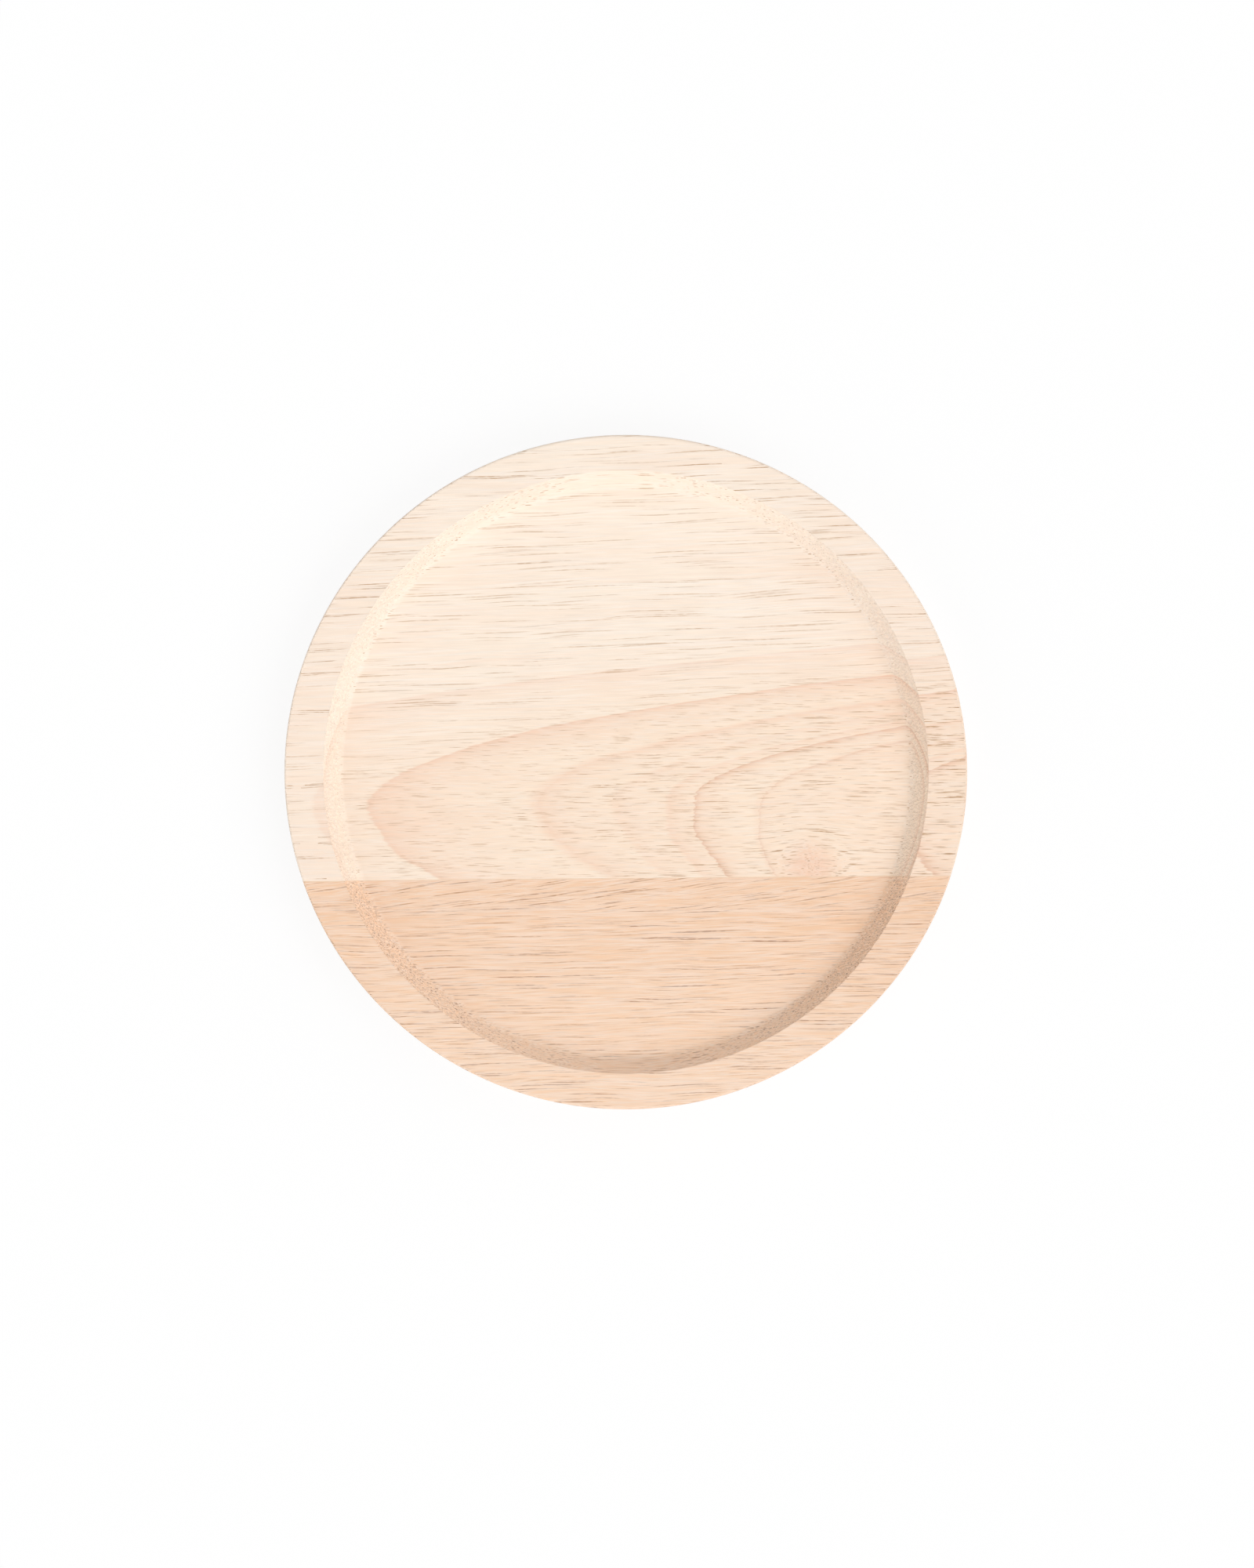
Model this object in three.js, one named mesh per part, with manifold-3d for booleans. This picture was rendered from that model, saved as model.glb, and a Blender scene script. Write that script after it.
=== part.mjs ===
// Round serving board, turned from two hardwood staves that are glued edge to edge.
// Millimetres. +X runs along the grain, +Y across it, +Z up.
// The origin is the middle of the underside.

import * as THREE from 'three';
import { mergeVertices } from 'three/addons/utils/BufferGeometryUtils.js';
import Module from 'manifold-3d';

// The blank. Wood dries narrower across the grain than along it, so a turned disc ends up oval.
const LENGTH = 250;
const WIDTH = 246.9;
const THICKNESS = 18;
const EDGE_EASE = 1;

// The recess, measured where its wall meets the rim.
const RECESS_LENGTH = 222;
const RECESS_WIDTH = 221;
const RECESS_DEPTH = 7;
const RIM_EASE = 0.3;
const WALL_SLOPE = THREE.MathUtils.degToRad(52);
const FLOOR_FILLET = 4;

// The glue joint runs along the grain, off the middle of the board.
const JOINT_Y = -39;
const GLUE_THICKNESS = 0.25;

// How finely the round shape is divided.
const TURNS = 112;
const EASE_STEPS = 3;
const FILLET_STEPS = 5;

// Larger than the board, for the blocks that part it. A power of two keeps the joint planes exact.
const REACH = 256;

const PALE_WOOD = new THREE.Color('#f7e1c8');
const WARM_WOOD = new THREE.Color('#f1ccad');
const CURED_GLUE = new THREE.Color('#e6c7a4');
const SANDED_ROUGHNESS = 0.6;
const GLUE_ROUGHNESS = 0.45;


// Points on an arc, from one angle to another: x is the distance from the turning axis, y the height.
function arc(centreRadius, centreHeight, radius, from, to, steps) {
  const points = [];
  for (let i = 0; i <= steps; i++) {
    const angle = from + (to - from) * i / steps;
    points.push(new THREE.Vector2(
      centreRadius + radius * Math.cos(angle),
      centreHeight + radius * Math.sin(angle),
    ));
  }
  return points;
}


// The outside of the section: flat underside, eased edge, upright side, eased edge.
function outsideProfile() {
  const radius = LENGTH / 2 - EDGE_EASE;
  return [
    new THREE.Vector2(0, 0),
    ...arc(radius, EDGE_EASE, EDGE_EASE, -Math.PI / 2, 0, EASE_STEPS),
    ...arc(radius, THICKNESS - EDGE_EASE, EDGE_EASE, 0, Math.PI / 2, EASE_STEPS),
  ];
}


// The recess: from the rim over a fine rounded corner, down a straight slope, and round a fillet
// to the flat floor. Both arcs touch the slope without a corner.
function recessProfile() {
  const floor = THICKNESS - RECESS_DEPTH;
  const cornerRun = RIM_EASE * Math.sin(WALL_SLOPE);
  const cornerDrop = RIM_EASE * (1 - Math.cos(WALL_SLOPE));
  const filletRun = FLOOR_FILLET * Math.sin(WALL_SLOPE);
  const filletRise = FLOOR_FILLET * (1 - Math.cos(WALL_SLOPE));
  const slopeRun = (RECESS_DEPTH - cornerDrop - filletRise) / Math.tan(WALL_SLOPE);
  const cornerRadius = RECESS_LENGTH / 2;
  const filletRadius = cornerRadius - cornerRun - slopeRun - filletRun;
  const up = Math.PI / 2;
  return [
    ...arc(cornerRadius, THICKNESS - RIM_EASE, RIM_EASE, up, up + WALL_SLOPE, EASE_STEPS),
    ...arc(filletRadius, floor + FLOOR_FILLET, FLOOR_FILLET, WALL_SLOPE - up, -up, FILLET_STEPS),
    new THREE.Vector2(0, floor),
  ];
}


// Narrows the turned shape across the grain, the outside and the recess each by its own share.
function dryAcrossGrain(geometry) {
  const position = geometry.attributes.position;
  const middleOfRim = (LENGTH + RECESS_LENGTH) / 4;
  for (let i = 0; i < position.count; i++) {
    const radius = Math.hypot(position.getX(i), position.getY(i));
    const share = radius > middleOfRim ? WIDTH / LENGTH : RECESS_WIDTH / RECESS_LENGTH;
    position.setY(i, position.getY(i) * share);
  }
  return geometry;
}


// The whole board before it is parted along the glue joint.
function boardGeometry() {
  const turned = new THREE.LatheGeometry([...outsideProfile(), ...recessProfile()], TURNS);
  turned.rotateX(Math.PI / 2);
  return dryAcrossGrain(turned);
}


const wasm = await Module();
wasm.setup();


// A closed solid from a geometry: one vertex per corner, and no triangle without an area.
function solidOf(geometry) {
  const bare = geometry.clone();
  bare.deleteAttribute('normal');
  bare.deleteAttribute('uv');
  const merged = mergeVertices(bare);
  const corners = merged.index.array;
  const triangles = [];
  for (let i = 0; i < corners.length; i += 3) {
    const [a, b, c] = corners.subarray(i, i + 3);
    if (a !== b && b !== c && c !== a) {
      triangles.push(a, b, c);
    }
  }
  return new wasm.Manifold(new wasm.Mesh({
    numProp: 3,
    vertProperties: new Float32Array(merged.attributes.position.array),
    triVerts: new Uint32Array(triangles),
  }));
}


// The geometry of a solid, ready for a mesh.
function geometryOf(solid) {
  const mesh = solid.getMesh();
  const geometry = new THREE.BufferGeometry();
  geometry.setAttribute('position', new THREE.BufferAttribute(mesh.vertProperties, mesh.numProp));
  geometry.setIndex(new THREE.BufferAttribute(mesh.triVerts, 1));
  return geometry.toNonIndexed();
}


// A block as wide and as high as needed to hold the board, between two planes across the grain.
function block(lowY, highY) {
  const geometry = new THREE.BoxGeometry(2 * REACH, highY - lowY, REACH);
  geometry.translate(0, (lowY + highY) / 2, 0);
  return solidOf(geometry);
}


const board = solidOf(boardGeometry());


// The part of the board between two planes, as a named piece with its finish.
function piece(name, lowY, highY, color, roughness) {
  const geometry = geometryOf(board.intersect(block(lowY, highY)));
  geometry.computeVertexNormals();
  const material = new THREE.MeshStandardMaterial({ color, roughness, metalness: 0 });
  const mesh = new THREE.Mesh(geometry, material);
  mesh.name = name;
  return mesh;
}


const glueTop = JOINT_Y + GLUE_THICKNESS / 2;
const glueBottom = JOINT_Y - GLUE_THICKNESS / 2;

const servingBoard = new THREE.Group();
servingBoard.add(
  piece('stave_pale', glueTop, glueTop + REACH, PALE_WOOD, SANDED_ROUGHNESS),
  piece('glue_line', glueBottom, glueTop, CURED_GLUE, GLUE_ROUGHNESS),
  piece('stave_warm', glueBottom - REACH, glueBottom, WARM_WOOD, SANDED_ROUGHNESS),
);

export default servingBoard;
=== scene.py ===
import math

import bpy
import numpy as np
from mathutils import Matrix, Vector


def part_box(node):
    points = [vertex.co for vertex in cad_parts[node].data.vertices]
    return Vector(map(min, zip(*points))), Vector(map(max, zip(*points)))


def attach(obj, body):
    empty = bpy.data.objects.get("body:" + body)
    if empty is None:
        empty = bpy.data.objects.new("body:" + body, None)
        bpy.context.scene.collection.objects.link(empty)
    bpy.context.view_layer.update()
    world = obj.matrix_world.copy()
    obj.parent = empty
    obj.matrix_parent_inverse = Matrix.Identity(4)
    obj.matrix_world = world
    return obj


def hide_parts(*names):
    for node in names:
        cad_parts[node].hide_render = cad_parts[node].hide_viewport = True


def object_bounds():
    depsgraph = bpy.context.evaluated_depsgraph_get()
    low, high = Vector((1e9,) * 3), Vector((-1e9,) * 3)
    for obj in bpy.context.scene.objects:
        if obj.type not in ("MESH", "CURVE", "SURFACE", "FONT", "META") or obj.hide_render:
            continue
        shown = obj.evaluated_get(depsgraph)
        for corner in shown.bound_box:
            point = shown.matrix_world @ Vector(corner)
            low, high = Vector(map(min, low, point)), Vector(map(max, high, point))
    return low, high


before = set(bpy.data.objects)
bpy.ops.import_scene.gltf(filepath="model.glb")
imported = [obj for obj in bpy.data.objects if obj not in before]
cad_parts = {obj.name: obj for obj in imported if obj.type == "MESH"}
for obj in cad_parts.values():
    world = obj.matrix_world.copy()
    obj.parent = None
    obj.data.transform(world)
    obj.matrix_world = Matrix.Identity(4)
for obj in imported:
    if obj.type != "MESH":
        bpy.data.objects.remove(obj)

# The turned board.
# Two staves of pale hardwood are glued edge to edge, sawn round and turned on a faceplate: a flat rim,
# a shallow recess with a sloping wall and a fillet, and edges eased with sandpaper. Wood dries narrower
# across the grain than along it, so the finished outline is a slight oval.
cad_low, cad_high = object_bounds()
LENGTH = cad_high.x - cad_low.x
WIDTH = cad_high.y - cad_low.y
THICKNESS = cad_high.z
EDGE_EASE = 0.001
RECESS_LENGTH = 0.222
RECESS_WIDTH = 0.221
RECESS_DEPTH = 0.007
RIM_EASE = 0.0003
WALL_SLOPE = math.radians(52)
FLOOR_FILLET = 0.004
GUARD = 0.0002           # a narrow straight strip beside each rounded edge, so that flats shade flat
EASE_STEPS = 8
FILLET_STEPS = 18
OUTLINE_STEPS = 480
CRISP_ANGLE = math.radians(40)
QUARTER_TURN = math.pi / 2


def arc(inset, height, radius, start, end, steps):
    """Points on a circle round (inset, height), from one angle to another, as (inset, height) rows."""
    angle = np.linspace(start, end, steps + 1)
    return np.column_stack((inset - radius * np.cos(angle), height + radius * np.sin(angle)))


def turned_section():
    """The board's half section, from the underside's edge round the outside, over the rim and down the
    recess wall to the edge of the floor, with arcs that touch the straight runs. Each point is carried
    round an oval: the result is the ovals' half lengths, half widths and heights."""
    foot = arc(EDGE_EASE, EDGE_EASE, EDGE_EASE, -QUARTER_TURN, 0, EASE_STEPS)
    brow = arc(EDGE_EASE, THICKNESS - EDGE_EASE, EDGE_EASE, 0, QUARTER_TURN, EASE_STEPS)
    outside = np.vstack((
        foot[0] + (GUARD, 0), foot, foot[-1] + (0, GUARD),
        brow[0] - (0, GUARD), brow, brow[-1] + (GUARD, 0),
    ))
    floor = THICKNESS - RECESS_DEPTH
    down_wall = np.array((math.cos(WALL_SLOPE), -math.sin(WALL_SLOPE)))
    corner = arc(0, THICKNESS - RIM_EASE, RIM_EASE, QUARTER_TURN, QUARTER_TURN + WALL_SLOPE, EASE_STEPS)
    fillet_height = FLOOR_FILLET * (1 - math.cos(WALL_SLOPE))
    slope_run = (corner[-1, 1] - floor - fillet_height) / math.tan(WALL_SLOPE)
    fillet_inset = corner[-1, 0] + slope_run + FLOOR_FILLET * math.sin(WALL_SLOPE)
    fillet = arc(fillet_inset, floor + FLOOR_FILLET, FLOOR_FILLET,
                 WALL_SLOPE - QUARTER_TURN, -QUARTER_TURN, FILLET_STEPS)
    recess = np.vstack((
        corner[0] - (GUARD, 0), corner, corner[-1] + GUARD * down_wall,
        fillet, fillet[-1] + (GUARD, 0),
    ))
    inset, height = np.vstack((outside, recess)).T
    runs = (len(outside), len(recess))
    half_length = np.repeat((LENGTH / 2, RECESS_LENGTH / 2), runs) - inset
    half_width = np.repeat((WIDTH / 2, RECESS_WIDTH / 2), runs) - inset
    return half_length, half_width, height


def new_piece(name, points, faces):
    """A smooth-shaded mesh object at the origin, whose edges that turn by over CRISP_ANGLE stay crisp."""
    mesh = bpy.data.meshes.new(name)
    mesh.from_pydata(points.reshape(-1, 3).tolist(), [], faces)
    mesh.shade_smooth()
    mesh.set_sharp_from_angle(angle=CRISP_ANGLE)
    piece = bpy.data.objects.new(name, mesh)
    bpy.context.scene.collection.objects.link(piece)
    return piece


def turned_stave(name, side, joint):
    """The part of the turned board on one side (+1 or -1 across the grain) of the plane y = joint.
    Along an oval with half axes a and b, the angle runs from side * 90 degrees both ways until
    b * sin(angle) reaches the joint; x = a * cos(angle) and y = b * sin(angle). The grid is closed by
    one flat face each for the floor, the underside and the glued edge."""
    a, b, z = (values[:, None] for values in turned_section())
    half_sweep = QUARTER_TURN - side * np.arcsin(joint / b)
    angle = side * QUARTER_TURN + np.linspace(-1, 1, OUTLINE_STEPS + 1) * half_sweep
    points = np.stack((a * np.cos(angle), b * np.sin(angle), z + 0 * angle), axis=-1)
    points[:, (0, -1), 1] = joint
    rows, columns = angle.shape
    index = np.arange(rows * columns).reshape(rows, columns)
    quads = np.stack((index[:-1, :-1], index[:-1, 1:], index[1:, 1:], index[1:, :-1]), axis=-1)
    floor = index[-1]
    underside = index[0, ::-1]
    glued_edge = np.concatenate((index[:, 0], index[::-1, -1]))
    flats = [floor.tolist(), underside.tolist(), glued_edge.tolist()]
    return new_piece(name, points, quads.reshape(-1, 4).tolist() + flats)


# The wood, as a solid.
# Every cut face of a stave shows the same log: growth rings round a pith that slopes slowly along the
# board, long open vessels that surface as strokes on the flats and as dots on the end grain, and fine
# fibres. All of it is worked out from the place in the wood, in millimetres.
MM_PER_M = 1000
NOISE_SWING = 0.25  # how far smooth noise mostly swings to either side of its middle, 0.5
WHITE = (1, 1, 1, 1)


def node(tree, kind, values=None, **settings):
    """Adds a shader node with its settings; values fills its inputs, by name or number, with a number,
    a colour or another node's output."""
    made = tree.nodes.new(kind)
    for key, value in settings.items():
        setattr(made, key, value)
    for key, value in (values or {}).items():
        if isinstance(value, bpy.types.NodeSocket):
            tree.links.new(value, made.inputs[key])
        else:
            made.inputs[key].default_value = value
    return made


def sums(tree):
    """Arithmetic in a shader tree: sums(tree)("ADD", a, b) is the output of one Math node."""
    def work(operation, *values):
        return node(tree, "ShaderNodeMath", dict(enumerate(values)), operation=operation).outputs[0]
    return work


def hypotenuse(work, a, b):
    """The square root of a * a + b * b, in the arithmetic of sums."""
    return work("SQRT", work("ADD", work("MULTIPLY", a, a), work("MULTIPLY", b, b)))


def ramp(tree, value, low, high, at_low=0.0, at_high=1.0):
    """A smooth step of value, from at_low below low to at_high above high."""
    made = node(tree, "ShaderNodeMapRange", interpolation_type="SMOOTHSTEP", values={
        "Value": value, "From Min": low, "From Max": high, "To Min": at_low, "To Max": at_high})
    return made.outputs[0]


def mix(tree, amount, first, second, blend="MIX"):
    """Two colours mixed by amount, by a named blend."""
    made = node(tree, "ShaderNodeMix", {0: amount, 6: first, 7: second},
                data_type="RGBA", blend_type=blend)
    return made.outputs[2]


def new_group(name, inputs, output, direction=None):
    """An empty shader node group with a vector Place, number inputs, one number output and, where
    direction names it, a vector output. Returns the group, its input node's outputs and its output
    node's inputs."""
    group = bpy.data.node_groups.new(name, "ShaderNodeTree")
    group.interface.new_socket("Place", in_out="INPUT", socket_type="NodeSocketVector")
    for label in inputs:
        group.interface.new_socket(label, in_out="INPUT", socket_type="NodeSocketFloat")
    group.interface.new_socket(output, in_out="OUTPUT", socket_type="NodeSocketFloat")
    if direction:
        group.interface.new_socket(direction, in_out="OUTPUT", socket_type="NodeSocketVector")
    return group, node(group, "NodeGroupInput").outputs, node(group, "NodeGroupOutput").inputs


def stretched(tree, place, x, y, z):
    """The place with each axis divided by its own length, for a pattern of that size."""
    made = node(tree, "ShaderNodeVectorMath", {0: place, 1: (1 / x, 1 / y, 1 / z)}, operation="MULTIPLY")
    return made.outputs[0]


def noise(tree, place, detail=2.0):
    """Smooth noise with features one unit long, as the node's outputs, each around 0.5."""
    return node(tree, "ShaderNodeTexNoise", {"Vector": place, "Scale": 1.0, "Detail": detail}).outputs


def wandered(tree, place, reach, size, lift=1.0):
    """The place moved by smooth noise with features of the given three lengths, by up to about
    NOISE_SWING of reach along each axis, and in height by that times lift."""
    shift = noise(tree, stretched(tree, place, *size), detail=1.0)["Color"]
    shift = node(tree, "ShaderNodeVectorMath", {0: shift, 1: (0.5, 0.5, 0.5)}, operation="SUBTRACT")
    shift = node(tree, "ShaderNodeVectorMath", {0: shift.outputs[0], 1: (1.0, 1.0, lift)},
                 operation="MULTIPLY")
    shift = node(tree, "ShaderNodeVectorMath", {0: shift.outputs[0], "Scale": reach}, operation="SCALE")
    moved = node(tree, "ShaderNodeVectorMath", {0: place, 1: shift.outputs[0]}, operation="ADD")
    return moved.outputs[0]


RING_BENDS = (60, 24, 24)
RIPPLES = (7, 0.8, 0.8)
RIPPLE_REACH = 0.35
FLARE = (-15.0, 35.0)  # where along the board the flare starts, and where it is full
STRAIGHT_WITHIN = 16.0


def growth_ring_group():
    """How old the wood is, as the radius of its growth ring in millimetres. The pith is a straight line
    at Pith across and Pith height that climbs by Pith climb for each millimetre along the grain. Rings
    on the near side of the pith are wider by Near spread, and by Flare more towards the right. Those
    beyond Straight from run straighter: they are turned by Straighten for each millimetre along the
    grain. Wander bends them all, and fine ripples roughen them. Slope is roughly how steep the radius
    is along each axis, before the rings are widened."""
    group, given, result = new_group("growth rings", [
        "Pith across", "Pith height", "Pith climb", "Near spread", "Flare", "Straighten",
        "Straight from", "Wander"], "Radius", "Slope")
    work = sums(group)
    place = wandered(group, given["Place"], given["Wander"], RING_BENDS)
    place = wandered(group, place, RIPPLE_REACH, RIPPLES)
    x, y, z = node(group, "ShaderNodeSeparateXYZ", {0: place}).outputs
    across = work("SUBTRACT", y, given["Pith across"])
    spread = work("MULTIPLY_ADD", ramp(group, x, *FLARE), given["Flare"], given["Near spread"])
    near = work("DIVIDE", work("MINIMUM", across, 0.0), spread)
    across = work("ADD", work("MAXIMUM", across, 0.0), near)
    climbed = work("MULTIPLY", x, given["Pith climb"])
    up = work("SUBTRACT", work("SUBTRACT", z, given["Pith height"]), climbed)
    straight_from = given["Straight from"]
    straight_to = work("ADD", straight_from, STRAIGHT_WITHIN)
    outer = ramp(group, hypotenuse(work, across, up), straight_from, straight_to)
    across = work("ADD", across, work("MULTIPLY", work("MULTIPLY", x, given["Straighten"]), outer))
    radius = hypotenuse(work, across, up)
    slope = node(group, "ShaderNodeCombineXYZ", {
        0: work("DIVIDE", work("MULTIPLY", up, given["Pith climb"]), radius),
        1: work("DIVIDE", across, radius),
        2: work("DIVIDE", up, radius)}).outputs[0]
    group.links.new(radius, result["Radius"])
    group.links.new(slope, result["Slope"])
    return group


def late_wood_group():
    """The late wood of one growth ring, as a mask: it ends crisply at radius At, over Edge millimetres,
    and fades towards the pith as exp(-depth / Fade), both measured on the surface, where the radius
    grows by Rise for each millimetre."""
    group, given, result = new_group("late wood", ["Radius", "Rise", "At", "Edge", "Fade"], "Mask")
    work = sums(group)
    depth = work("DIVIDE", work("SUBTRACT", given["At"], given["Radius"]), given["Rise"])
    start = ramp(group, depth, work("MULTIPLY", given["Edge"], -0.5), work("MULTIPLY", given["Edge"], 0.5))
    share = work("DIVIDE", work("MAXIMUM", depth, 0.0), given["Fade"])
    mask = work("MULTIPLY", start, work("EXPONENT", work("MULTIPLY", share, -1.0)))
    group.links.new(mask, result["Mask"])
    return group


VESSEL_WAVES = (34, 15, 15)
WAVE_LIFT = 0.15
SEASONS_PER_MM = 0.45       # how many bands, rich or poor in vessels, a millimetre of radius holds
BORES = (0.65, 1.3)         # of the narrowest and the widest vessel, for a Bore of 1
DEPTHS = (0.4, 1.0)         # of the shallowest and the deepest one
VESSEL_WALL = (0.65, 1.05)  # this and the next two are in bores from a vessel's middle
LIP_RISE = (1.0, 1.5)
LIP_FALL = (1.5, 2.4)
BEADS = (3.0, 0.6, 0.6)
BEAD_NOISE = (0.35, 0.6)
BEAD_DEPTHS = (0.45, 1.15)
GROWN_WITHIN = 1.5


def vessel_group():
    """Open vessels, as a depth: slim ellipsoids round scattered points that stand Length apart along the
    grain and Spacing across it. Bore is how far one reaches from its point, as a share of those two.
    Only a Share of the points hold one, more in some growth rings than in others by Banding. Slant
    leads them across the grain by that much for each millimetre along it, Wander makes them wave, and
    they grow in the rings from First to Last. Some are wider or deeper than others, and beads make each
    one deeper and shallower along its length. The sanded lip beside it stands proud, as a depth
    below 0."""
    group, given, result = new_group("vessels", [
        "Radius", "Length", "Spacing", "Bore", "Share", "Banding", "Slant", "Wander", "First", "Last"],
        "Depth")
    work = sums(group)
    place = wandered(group, given["Place"], given["Wander"], VESSEL_WAVES, WAVE_LIFT)
    x, y, z = node(group, "ShaderNodeSeparateXYZ", {0: place}).outputs
    slanted = work("SUBTRACT", y, work("MULTIPLY", x, given["Slant"]))
    cells = node(group, "ShaderNodeCombineXYZ", {
        0: work("DIVIDE", x, given["Length"]),
        1: work("DIVIDE", slanted, given["Spacing"]),
        2: work("DIVIDE", z, given["Spacing"])}).outputs[0]
    cell = node(group, "ShaderNodeTexVoronoi", {"Vector": cells, "Scale": 1.0}, feature="F1").outputs
    chance, size, tone = node(group, "ShaderNodeSeparateColor", {0: cell["Color"]}).outputs

    season = work("MULTIPLY", given["Radius"], SEASONS_PER_MM)
    season = node(group, "ShaderNodeCombineXYZ", {0: season}).outputs[0]
    season = work("SUBTRACT", noise(group, season, detail=1.0)[0], 0.5)
    season = work("MULTIPLY", season, work("MULTIPLY", given["Banding"], 1 / NOISE_SWING))
    held = work("LESS_THAN", chance, work("MULTIPLY", given["Share"], work("ADD", 1.0, season)))

    bore = work("MULTIPLY", given["Bore"], ramp(group, size, 0.0, 1.0, *BORES))
    away = work("DIVIDE", cell["Distance"], bore)
    # The raised lip beside each vessel: its relief goes to the bump, and the wood also paints it paler, as
    # a painted highlight.
    lip_highlight = work("MULTIPLY", ramp(group, away, *LIP_RISE), ramp(group, away, *LIP_FALL, 1.0, 0.0))
    beads = noise(group, stretched(group, place, *BEADS), detail=1.0)[0]
    beads = ramp(group, beads, *BEAD_NOISE, *BEAD_DEPTHS)
    bottom = work("MULTIPLY", ramp(group, away, *VESSEL_WALL, 1.0, 0.0), beads)
    depth = work("SUBTRACT", bottom, lip_highlight)
    depth = work("MULTIPLY", depth, ramp(group, tone, 0.0, 1.0, *DEPTHS))
    since = ramp(group, work("SUBTRACT", given["Radius"], given["First"]), -GROWN_WITHIN, GROWN_WITHIN)
    until = ramp(group, work("SUBTRACT", given["Last"], given["Radius"]), -GROWN_WITHIN, GROWN_WITHIN)
    depth = work("MULTIPLY", work("MULTIPLY", depth, held), work("MULTIPLY", since, until))
    group.links.new(depth, result["Depth"])
    return group


GROWTH_RINGS = growth_ring_group()
LATE_WOOD = late_wood_group()
VESSELS = vessel_group()


def with_late_wood(tree, darkness, bands, radius, rise):
    """The darkness, plus the late wood of each ring in bands: (radius, edge, fade, amount)."""
    work = sums(tree)
    for at, edge, fade, amount in bands:
        values = {"Radius": radius, "Rise": rise, "At": at, "Edge": edge, "Fade": fade}
        mask = node(tree, "ShaderNodeGroup", values, node_tree=LATE_WOOD).outputs[0]
        darkness = work("ADD", darkness, work("MULTIPLY", mask, amount))
    return darkness


def with_vessels(tree, colour, sap, strength, layers, grain, radius):
    """The colour, taken towards sap in each layer of vessels by its amount times strength. Returns it,
    the depth of the deepest vessel at that place, and how high the highest lip is, as a depth below 0."""
    work = sums(tree)
    hollow = 0.0
    proud = 0.0
    for amount, values in layers:
        values = {"Place": grain, "Radius": radius, **values}
        depth = node(tree, "ShaderNodeGroup", values, node_tree=VESSELS).outputs[0]
        stained = work("MULTIPLY", work("MAXIMUM", depth, 0.0), work("MULTIPLY", strength, amount))
        colour = mix(tree, stained, colour, sap)
        hollow = work("MAXIMUM", hollow, depth)
        proud = work("MINIMUM", proud, depth)
    return colour, hollow, proud


END_GRAIN = (0.05, 0.85)  # the lean along the grain where end grain starts, and is full
PATCHES = (45, 9, 9)
PATCH_NOISE = (0.3, 0.75)
PATCH_TONE = 0.12
TAN_SHIFT = 12.0          # how far left of the board's middle the paler wood is centred
TANNED = (50.0, 118.0)    # how far from that centre the tan starts, and is full
FLAT_TAN = 0.8            # the share of the tan that end grain doesn't take
END_SHADE = 0.2           # how much darker end grain is, for a cut of 1
LINE_SAP = 0.5            # how far a ring line goes on towards sap
END_VESSELS = 0.8         # how much end grain strengthens vessels for a cut of 1, and weakens them for 0
FIBRES = (10, 0.8, 0.8)
FLAT_FIBRES = 0.12        # how strongly fibres shade the flats
END_FIBRES = 0.15         # how much more strongly they shade end grain, for a cut of 0
CUT_FIBRES = 0.45         # and how much is added to that for a cut of 1
FLAT_RELIEF = 0.3         # how far fibres stand up on the flats, in depths of a vessel
END_RELIEF = 38.0         # and how much farther on end grain, so that its shading is rough
BUMP_HEIGHT = 0.0001
BUMP_STRENGTH = 0.3
WOOD_ROUGHNESS = 0.58
VESSEL_ROUGHNESS = 0.8
WOOD_SPECULAR = 0.35


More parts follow.
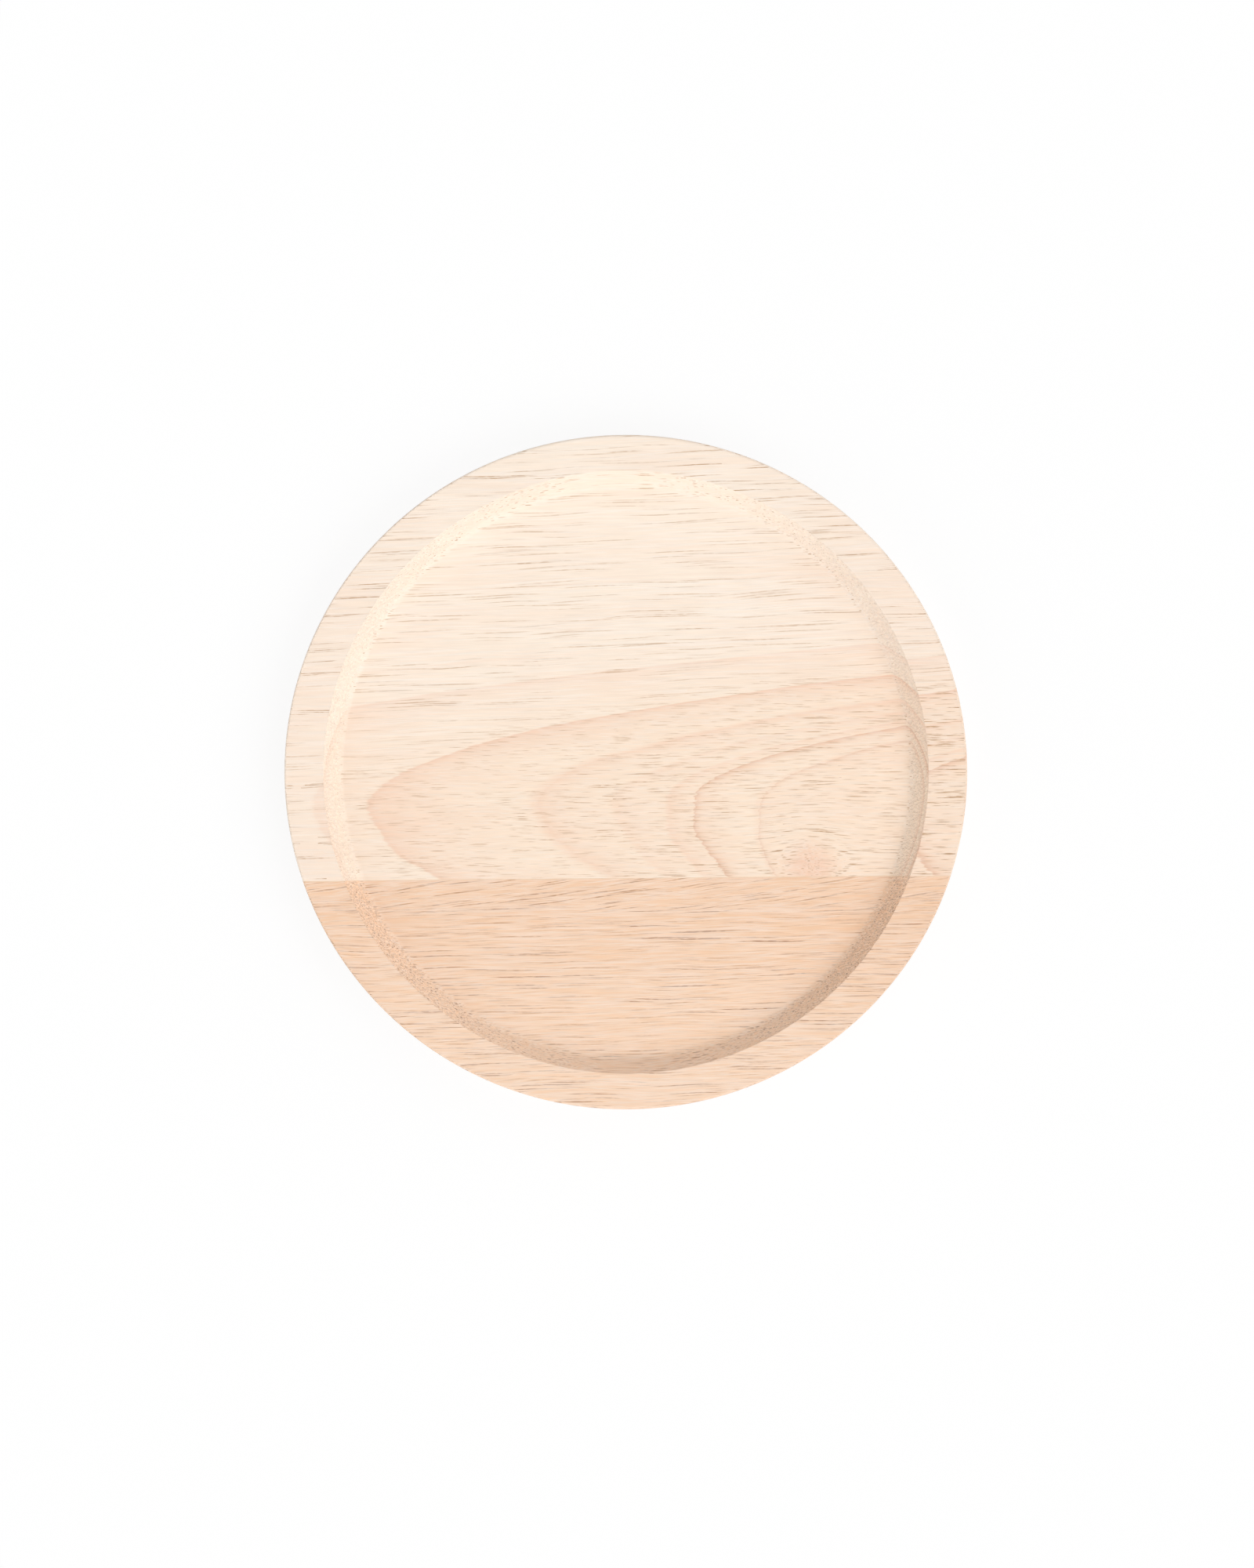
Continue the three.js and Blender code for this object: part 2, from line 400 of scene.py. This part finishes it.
def sanded_wood(name, young, old, late, sap, lip_highlight, cut, ends, ages, rings, late_woods, ring_lines,
                vessels, knot=None):
    """A material of sanded, unfinished hardwood. Its colour goes from young to old between the two radii
    in ages, towards late in each ring's late wood, and towards sap in the vessels, where sap has dried.
    Both late_woods and ring_lines list the late wood as (radius, edge, fade, amount): the first are soft
    and measured in radius, the second are the crisp last cells, measured on the surface, and go on
    towards sap. The wood also tans towards late near both ends of the board, by ends. vessels lists each
    layer's amount and values, and lip_highlight is how far the raised lips beside them are painted
    towards white, as a painted highlight. cut is how strongly a cut across the grain shows the fibres'
    and vessels' ends. knot bends the grain, stains it, which quiets the vessels there, and pushes the
    rings outward."""
    material = bpy.data.materials.new(name)
    material.use_nodes = True
    tree = material.node_tree
    tree.nodes.clear()
    work = sums(tree)
    surface = node(tree, "ShaderNodeTexCoord").outputs
    place = node(tree, "ShaderNodeVectorMath", {0: surface["Object"], "Scale": MM_PER_M},
                 operation="SCALE").outputs[0]
    along, _, _ = node(tree, "ShaderNodeSeparateXYZ", {0: surface["Normal"]}).outputs
    end_grain = ramp(tree, work("ABSOLUTE", along), *END_GRAIN)
    radius, slope = node(tree, "ShaderNodeGroup", {"Place": place, **rings}, node_tree=GROWTH_RINGS).outputs
    rise = node(tree, "ShaderNodeVectorMath", {0: slope, 1: surface["Normal"]}, operation="CROSS_PRODUCT")
    rise = node(tree, "ShaderNodeVectorMath", {0: rise.outputs[0]}, operation="LENGTH").outputs["Value"]
    grain, stain, bulge = knot(tree, place) if knot else (place, 0.0, 0.0)
    radius = work("SUBTRACT", radius, bulge)

    patch = noise(tree, stretched(tree, place, *PATCHES))[0]
    darkness = work("ADD", ramp(tree, patch, *PATCH_NOISE, 0.0, PATCH_TONE), stain)
    x, _, _ = node(tree, "ShaderNodeSeparateXYZ", {0: place}).outputs
    outward = work("ABSOLUTE", work("ADD", x, TAN_SHIFT))
    tan = work("MULTIPLY", ramp(tree, outward, *TANNED, 0.0, ends),
               work("MULTIPLY_ADD", end_grain, -FLAT_TAN, 1.0))
    darkness = with_late_wood(tree, work("ADD", darkness, tan), late_woods, radius, 1.0)
    line = with_late_wood(tree, 0.0, ring_lines, radius, rise)
    darkness = work("ADD", work("MULTIPLY_ADD", end_grain, END_SHADE * cut, darkness), line)
    colour = mix(tree, ramp(tree, radius, *ages), young, old)
    colour = mix(tree, work("MINIMUM", darkness, 1.0), colour, late)
    colour = mix(tree, work("MULTIPLY", line, LINE_SAP), colour, sap)

    strength = work("MULTIPLY_ADD", end_grain, END_VESSELS * (2 * cut - 1), 1.0)
    strength = work("SUBTRACT", strength, stain)
    colour, hollow, proud = with_vessels(tree, colour, sap, strength, vessels, grain, radius)
    # Painted highlight: the raised lips beside the vessels are painted towards white by lip_highlight,
    # standing in for the light that their edges catch.
    colour = mix(tree, work("MULTIPLY", proud, -lip_highlight), colour, WHITE)
    fibres = noise(tree, stretched(tree, grain, *FIBRES), detail=1.0)[0]
    contrast = work("MULTIPLY_ADD", end_grain, END_FIBRES + CUT_FIBRES * cut, FLAT_FIBRES)
    shade = work("MULTIPLY_ADD", work("SUBTRACT", fibres, 0.5), contrast, 1.0)
    shade = node(tree, "ShaderNodeCombineColor", {0: shade, 1: shade, 2: shade}).outputs[0]
    colour = mix(tree, 1.0, colour, shade, "MULTIPLY")

    relief = work("MULTIPLY", fibres, work("MULTIPLY_ADD", end_grain, END_RELIEF, FLAT_RELIEF))
    height = work("SUBTRACT", relief, work("ADD", hollow, proud))
    bump = node(tree, "ShaderNodeBump", {
        "Height": height, "Strength": BUMP_STRENGTH, "Distance": BUMP_HEIGHT})
    shader = node(tree, "ShaderNodeBsdfPrincipled", {
        "Base Color": colour, "Normal": bump.outputs[0], "Specular IOR Level": WOOD_SPECULAR,
        "Roughness": ramp(tree, hollow, 0.0, 1.0, WOOD_ROUGHNESS, VESSEL_ROUGHNESS)})
    node(tree, "ShaderNodeOutputMaterial", {0: shader.outputs[0]})
    return material


# The pale stave.
# The wide board on the far side of the glue joint, flat-sawn from creamy sapwood, so the rings meet the
# floor as long points. Its near edge, planed straight and glued, cuts the side of a small knot.
KNOT_ALONG = 67.5
KNOT_ACROSS = -35.0
KNOT_RADIUS = 8.0
KNOT_SWELL = 2.0
SWELL_REACH = 2.0        # this reach and the others are in radii of the knot
KNOT_TILT = 3.0
TILT_REACH = 1.0
KNOT_STAIN = 0.55
STAIN_REACH = (0.3, 1.7)
KNOT_BULGE = 1.5
BULGE_REACH = 2.5
glue_low, glue_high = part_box("glue_line")
stave_pale = turned_stave("pale_stave", +1, glue_high.y)


def bell(work, away, reach):
    """A bell of away, exp(-(away / reach) ** 2), in the arithmetic of sums."""
    return work("EXPONENT", work("MULTIPLY", work("MULTIPLY", away, away), -1 / reach ** 2))


def round_knot(tree, place):
    """The grain that flows round a knot standing in the wood: the place, moved towards the knot from
    each side by KNOT_SWELL for each radius that it lies beside it, and tilted along the grain by
    KNOT_TILT for each radius, so that the vessels in the knot surface as dots. Both fade as a bell of
    the distance from the knot. With it come the knot's stain, a disc with a soft edge, and how far the
    rings bulge outward round it, a bell of KNOT_BULGE."""
    work = sums(tree)
    x, y, z = node(tree, "ShaderNodeSeparateXYZ", {0: place}).outputs
    along = work("DIVIDE", work("SUBTRACT", x, KNOT_ALONG), KNOT_RADIUS)
    across = work("DIVIDE", work("SUBTRACT", y, KNOT_ACROSS), KNOT_RADIUS)
    away = hypotenuse(work, along, across)
    swell = work("MULTIPLY", bell(work, away, SWELL_REACH), work("MULTIPLY", across, KNOT_SWELL))
    tilt = work("MULTIPLY", bell(work, away, TILT_REACH), work("MULTIPLY", along, KNOT_TILT))
    grain = node(tree, "ShaderNodeCombineXYZ", {
        0: x, 1: work("SUBTRACT", y, swell), 2: work("ADD", z, tilt)}).outputs[0]
    stain = ramp(tree, away, *STAIN_REACH, KNOT_STAIN, 0.0)
    bulge = work("MULTIPLY", bell(work, away, BULGE_REACH), KNOT_BULGE)
    return grain, stain, bulge


stave_pale.data.materials.append(sanded_wood(
    "sanded pale wood",
    young=(0.988, 0.808, 0.638, 1),
    old=(0.988, 0.848, 0.711, 1),
    late=(0.910, 0.575, 0.405, 1),
    sap=(0.505, 0.285, 0.130, 1),
    lip_highlight=0.20,
    cut=0.15,
    ends=0.13,
    ages=(56.0, 82.0),
    rings={"Pith across": -11.7, "Pith height": -48.45, "Pith climb": 0.095, "Near spread": 1.47,
           "Flare": 0.72, "Straighten": 0.035, "Straight from": 72.0, "Wander": 1.0},
    late_woods=[
        (54.8, 0.25, 1.6, 0.20), (57.1, 0.2, 1.0, 0.27), (58.1, 0.3, 0.6, 0.36), (59.8, 0.4, 0.8, 0.25),
        (62.6, 0.7, 1.4, 0.40), (68.4, 0.25, 2.4, 0.46),
        (77.5, 0.4, 3.0, 0.25), (82.6, 0.5, 0.6, 0.12),
    ],
    ring_lines=[
        (54.6, 0.4, 0.7, 0.30), (57.1, 0.4, 0.8, 0.52), (62.4, 0.6, 1.0, 0.06), (68.4, 0.5, 1.0, 0.14),
        (77.5, 0.6, 1.0, 0.06), (101.2, 0.5, 0.5, 0.14), (102.8, 0.4, 0.4, 0.10),
    ],
    vessels=[
        (0.88, {"Length": 11.0, "Spacing": 0.42, "Bore": 0.29, "Share": 1.0, "Banding": 0.3,
                "Slant": 0.0, "Wander": 0.9, "First": -10.0, "Last": 70.0}),
        (1.10, {"Length": 21.0, "Spacing": 0.60, "Bore": 0.27, "Share": 0.8, "Banding": 0.3,
                "Slant": 0.0, "Wander": 0.9, "First": -10.0, "Last": 62.0}),
        (0.80, {"Length": 50.0, "Spacing": 0.60, "Bore": 0.29, "Share": 0.85, "Banding": 0.6,
                "Slant": 0.03, "Wander": 2.2, "First": 69.0, "Last": 200.0}),
        (0.46, {"Length": 48.0, "Spacing": 0.95, "Bore": 0.25, "Share": 0.65, "Banding": 0.7,
                "Slant": 0.05, "Wander": 2.2, "First": 72.0, "Last": 200.0}),
    ],
    knot=round_knot,
))
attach(stave_pale, "root")
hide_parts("stave_pale")


# The warm stave.
# The narrower board on the near side, sawn far from the pith of another log: a warmer colour, nearly
# straight rings, and wider vessels, which run at a slant close to the joint.
stave_warm = turned_stave("warm_stave", -1, glue_low.y)
stave_warm.data.materials.append(sanded_wood(
    "sanded warm wood",
    young=(0.943, 0.660, 0.462, 1),
    old=(0.920, 0.624, 0.425, 1),
    late=(0.895, 0.550, 0.330, 1),
    sap=(0.440, 0.230, 0.125, 1),
    lip_highlight=0.28,
    cut=0.8,
    ends=0.34,
    ages=(112.0, 160.0),
    rings={"Pith across": -180.0, "Pith height": 95.0, "Pith climb": 0.01, "Near spread": 1.0,
           "Flare": 0.0, "Straighten": 0.0, "Straight from": 500.0, "Wander": 3.0},
    late_woods=[(141.8, 2.0, 4.0, 0.2), (153.5, 3.0, 5.0, 0.25)],
    ring_lines=[(165.0, 0.6, 0.6, 0.2)],
    vessels=[
        (0.72, {"Length": 36.0, "Spacing": 0.60, "Bore": 0.29, "Share": 0.95, "Banding": 0.2,
                "Slant": 0.01, "Wander": 2.2, "First": 0.0, "Last": 156.0}),
        (0.80, {"Length": 44.0, "Spacing": 0.92, "Bore": 0.27, "Share": 0.75, "Banding": 0.4,
                "Slant": 0.01, "Wander": 2.2, "First": 0.0, "Last": 156.0}),
        (0.74, {"Length": 26.0, "Spacing": 0.75, "Bore": 0.30, "Share": 0.95, "Banding": 0.2,
                "Slant": 0.14, "Wander": 2.5, "First": 154.0, "Last": 300.0}),
        (0.36, {"Length": 16.0, "Spacing": 0.42, "Bore": 0.32, "Share": 1.0, "Banding": 0.2,
                "Slant": 0.03, "Wander": 2.5, "First": 0.0, "Last": 300.0}),
    ],
))
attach(stave_warm, "root")
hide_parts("stave_warm")


# The glue joint.
# A film of cured wood glue between the two planed edges, squeezed thin in the clamps and turned and
# sanded flush with the wood, so only its edge shows.
def glue_film():
    """The board's section at each face of the film, joined by narrow strips: at the plane y, an oval
    with half axes a and b reaches x = a * sqrt(1 - (y / b) ** 2) on both sides."""
    a, b, z = turned_section()
    faces_y = np.array((glue_low.y, glue_high.y))[:, None]
    x = a * np.sqrt(1 - (faces_y / b) ** 2)
    x = np.hstack((x, -x[:, ::-1]))
    z = np.concatenate((z, z[::-1]))
    points = np.stack((x, faces_y + 0 * x, z + 0 * x), axis=-1)
    index = np.arange(x.size).reshape(x.shape)
    ahead = np.roll(index, -1, axis=1)
    strips = np.stack((index[0], index[1], ahead[1], ahead[0]), axis=-1)
    return new_piece("glue_film", points, strips.tolist() + [index[0].tolist(), index[1, ::-1].tolist()])


GLUE_CLOUDS = (0.004, 0.001, 0.001)  # in metres
CLOUD_NOISE = (0.3, 0.7)
GLUE_DARK = (0.84, 0.60, 0.42, 1)
GLUE_LIGHT = (0.90, 0.68, 0.50, 1)
GLUE_ROUGHNESS = 0.45


def cured_glue():
    """A material of cured wood glue, slightly glossy and clouded from dark to light along the joint."""
    material = bpy.data.materials.new("cured wood glue")
    material.use_nodes = True
    tree = material.node_tree
    shader = tree.nodes["Principled BSDF"]
    place = stretched(tree, node(tree, "ShaderNodeTexCoord").outputs["Object"], *GLUE_CLOUDS)
    tone = ramp(tree, noise(tree, place)[0], *CLOUD_NOISE)
    tree.links.new(mix(tree, tone, GLUE_DARK, GLUE_LIGHT), shader.inputs["Base Color"])
    shader.inputs["Roughness"].default_value = GLUE_ROUGHNESS
    return material


film = glue_film()
film.data.materials.append(cured_glue())
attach(film, "root")
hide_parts("glue_line")


# The studio.
# The camera looks straight down on the board, turned by the half degree that the glue joint slopes in
# the picture. A large soft lamp stands on the near right side, weaker ones at the near left and far
# right, and all round them is an even white surround.
PICTURE_WIDTH = 1600
PICTURE_HEIGHT = 2000
BOARD_AT = Vector((798.55, 984.87))      # the board's middle in the picture, in pixels
BOARD_PIXELS = 871.6                     # its length there
LENS = 110
CAMERA_ROLL = math.radians(-0.5)
FARTHEST_SEEN = 20
metres_per_pixel = LENGTH / BOARD_PIXELS
camera = bpy.data.cameras.new("camera")
camera.lens = LENS
camera.clip_end = FARTHEST_SEEN
viewer = bpy.data.objects.new("camera", camera)
bpy.context.scene.collection.objects.link(viewer)
bpy.context.scene.camera = viewer
turn = Matrix.Rotation(CAMERA_ROLL, 4, "Z")
middle = Vector((PICTURE_WIDTH / 2 - BOARD_AT.x, BOARD_AT.y - PICTURE_HEIGHT / 2, 0)) * metres_per_pixel
distance = LENS / camera.sensor_width * PICTURE_HEIGHT * metres_per_pixel
viewer.matrix_world = turn @ Matrix.Translation(middle + Vector((0, 0, THICKNESS + distance)))


def studio_lamp(name, direction, height, spread, level):
    """A distant soft lamp, from a direction counted anticlockwise from +X and a height above the floor,
    both in degrees. level is the brightness that it gives a white floor."""
    lamp = bpy.data.lights.new(name, "SUN")
    lamp.energy = level * math.pi / math.sin(math.radians(height))
    lamp.angle = math.radians(spread)
    holder = bpy.data.objects.new(name, lamp)
    bpy.context.scene.collection.objects.link(holder)
    holder.rotation_euler = (math.radians(90 - height), 0, math.radians(90 + direction))


studio_lamp("key", direction=-42, height=44, spread=50, level=0.34)
studio_lamp("left fill", direction=-147, height=25, spread=60, level=0.16)
studio_lamp("right fill", direction=44, height=38, spread=60, level=0.18)


def seen_directly(tree):
    """1 where the camera, or a reflection or refraction, sees this, and 0 for light that it sheds."""
    path = node(tree, "ShaderNodeLightPath").outputs
    work = sums(tree)
    seen = work("MAXIMUM", path["Is Camera Ray"], path["Is Glossy Ray"])
    return work("MAXIMUM", seen, path["Is Transmission Ray"])


SURROUND_LEVEL = 0.30
surround = bpy.data.worlds.new("surround")
bpy.context.scene.world = surround
surround.use_nodes = True
air = surround.node_tree
air.nodes.clear()
brightness = ramp(air, seen_directly(air), 0.0, 1.0, SURROUND_LEVEL, 1.0)
backdrop = node(air, "ShaderNodeBackground", {"Color": WHITE, "Strength": brightness})
node(air, "ShaderNodeOutputWorld", {0: backdrop.outputs[0]})

FLOOR_REACH = 6
BACKLIGHT = 0.88         # how much of the floor's white shows through its shadows
PAPER = (0.8, 0.8, 0.8, 1)
corners = [(-1, -1), (1, -1), (1, 1), (-1, 1)]
sheet = bpy.data.meshes.new("floor")
sheet.from_pydata([(x * FLOOR_REACH, y * FLOOR_REACH, 0) for x, y in corners], [], [(0, 1, 2, 3)])
floor = bpy.data.objects.new("floor", sheet)
bpy.context.scene.collection.objects.link(floor)
paper = bpy.data.materials.new("white paper")
paper.use_nodes = True
paper_tree = paper.node_tree
paper_tree.nodes.clear()
directly = seen_directly(paper_tree)
matt_colour = mix(paper_tree, directly, PAPER, WHITE)
matt = node(paper_tree, "ShaderNodeBsdfDiffuse", {0: matt_colour}).outputs[0]
bright = node(paper_tree, "ShaderNodeEmission", {0: WHITE, 1: 1.0}).outputs[0]
seen = sums(paper_tree)("MULTIPLY", directly, BACKLIGHT)
both = node(paper_tree, "ShaderNodeMixShader", {0: seen, 1: matt, 2: bright}).outputs[0]
node(paper_tree, "ShaderNodeOutputMaterial", {0: both})
sheet.materials.append(paper)

bpy.context.scene.view_settings.view_transform = "Standard"
